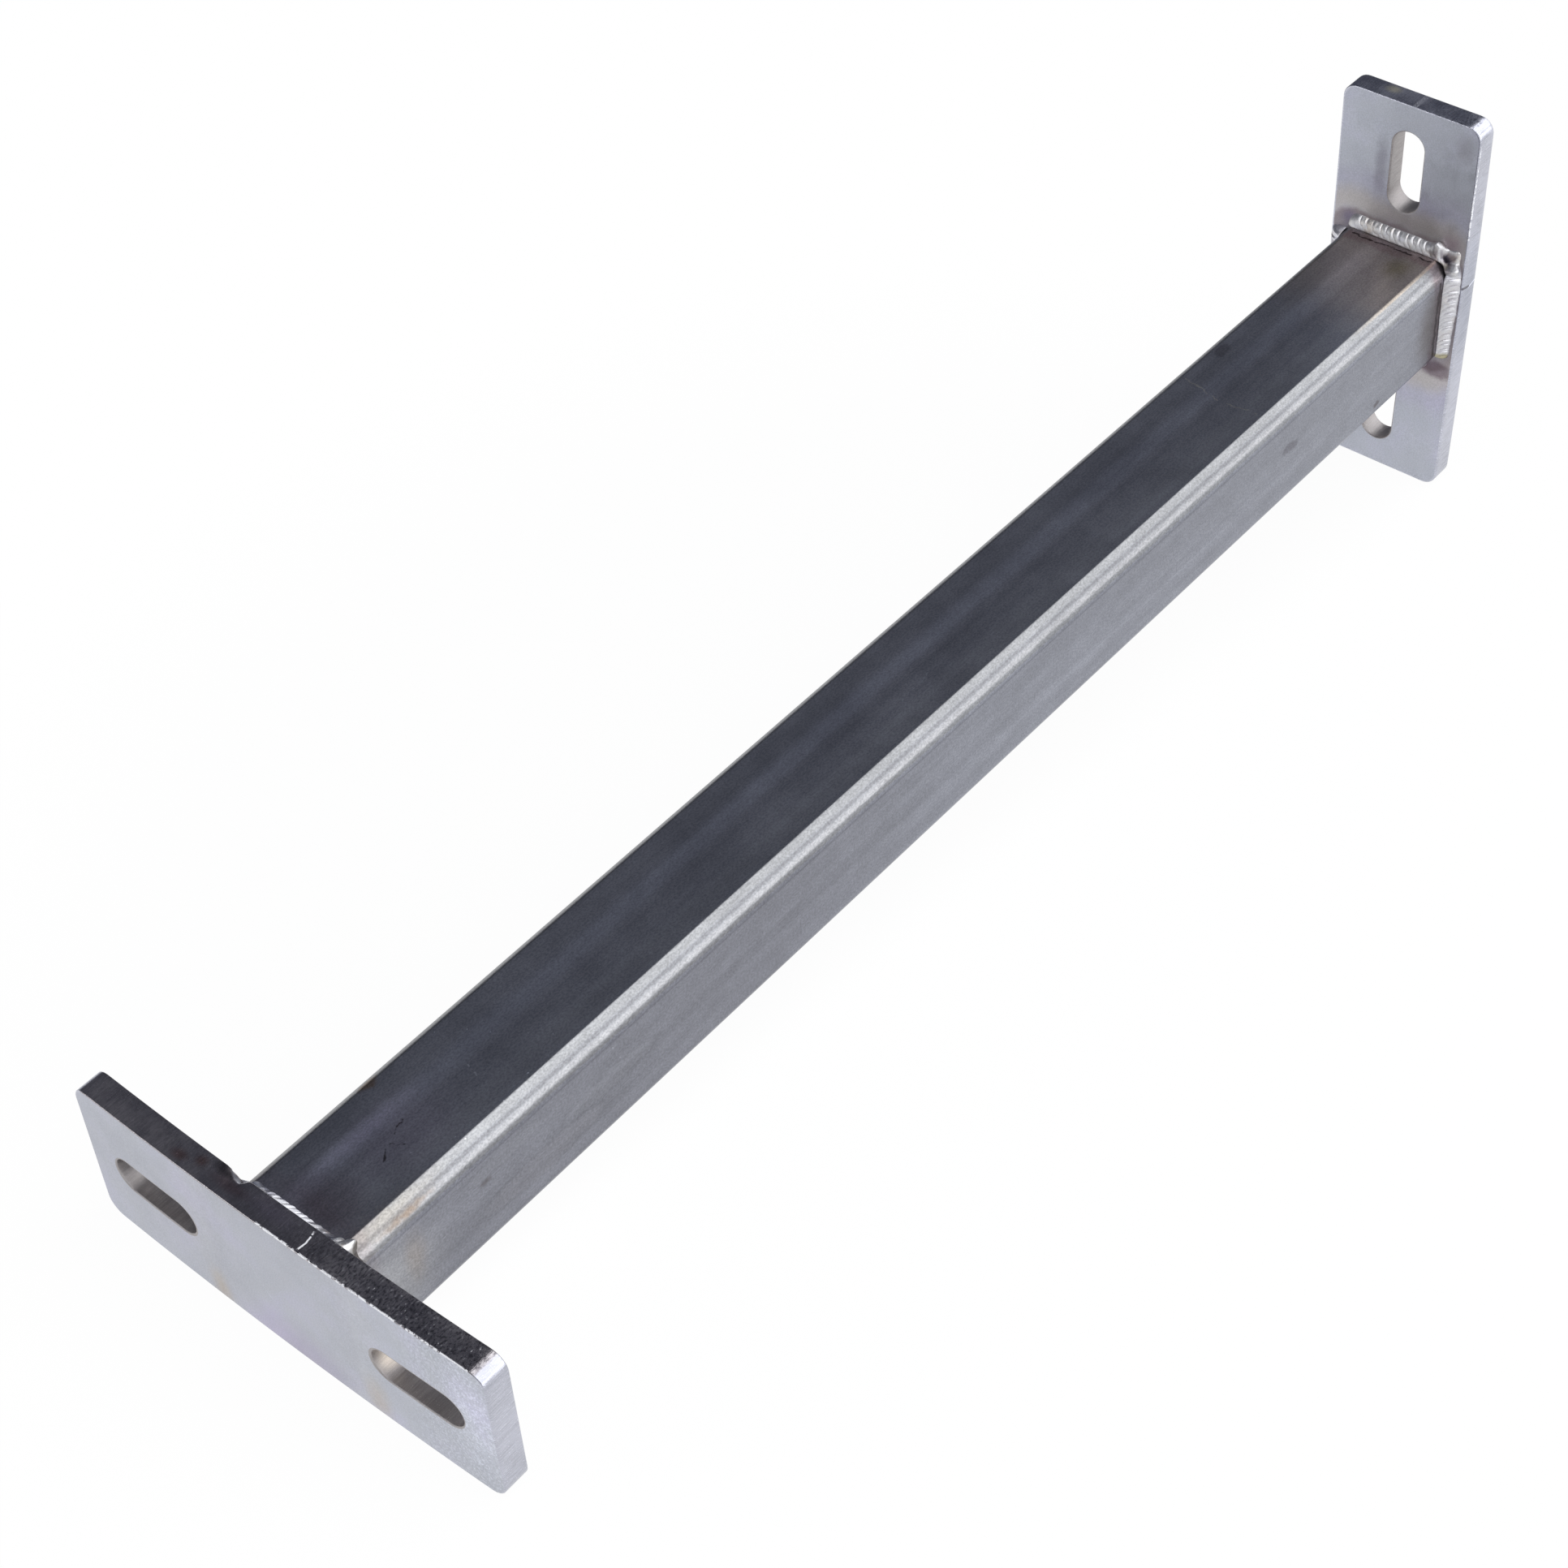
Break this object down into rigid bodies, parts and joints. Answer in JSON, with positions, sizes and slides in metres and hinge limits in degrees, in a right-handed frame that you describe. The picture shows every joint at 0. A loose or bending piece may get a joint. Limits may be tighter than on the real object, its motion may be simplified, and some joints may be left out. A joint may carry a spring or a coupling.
{
  "type": "mounting bracket",
  "caption": "Square steel tube with a slotted rectangular plate welded across each end, the long sides of the plates at right angles to each other.",
  "frame": {"origin": "centre of the cross plate's outer face, on the tube's axis", "axes": "+X along the tube to the upright plate, +Y along the cross plate's long side, +Z along the upright plate's long side, up as it lies"},
  "size_m": [0.516, 0.142, 0.142],
  "materials": {
    "tube_steel": "drawn tube, dark mill finish with lengthwise streaks",
    "plate_steel": "pickled plate with laser-cut edges and heat tint by the welds",
    "weld_metal": "rippled bare weld metal"
  },
  "bodies": {
    "root": {"square_tube": "tube_steel", "cross_plate": "plate_steel", "upright_plate": "plate_steel", "cross_weld_top": "weld_metal", "cross_weld_right": "weld_metal", "cross_weld_bottom": "weld_metal", "cross_weld_left": "weld_metal", "upright_weld_top": "weld_metal", "upright_weld_right": "weld_metal", "upright_weld_bottom": "weld_metal", "upright_weld_left": "weld_metal"}
  },
  "joints": []
}
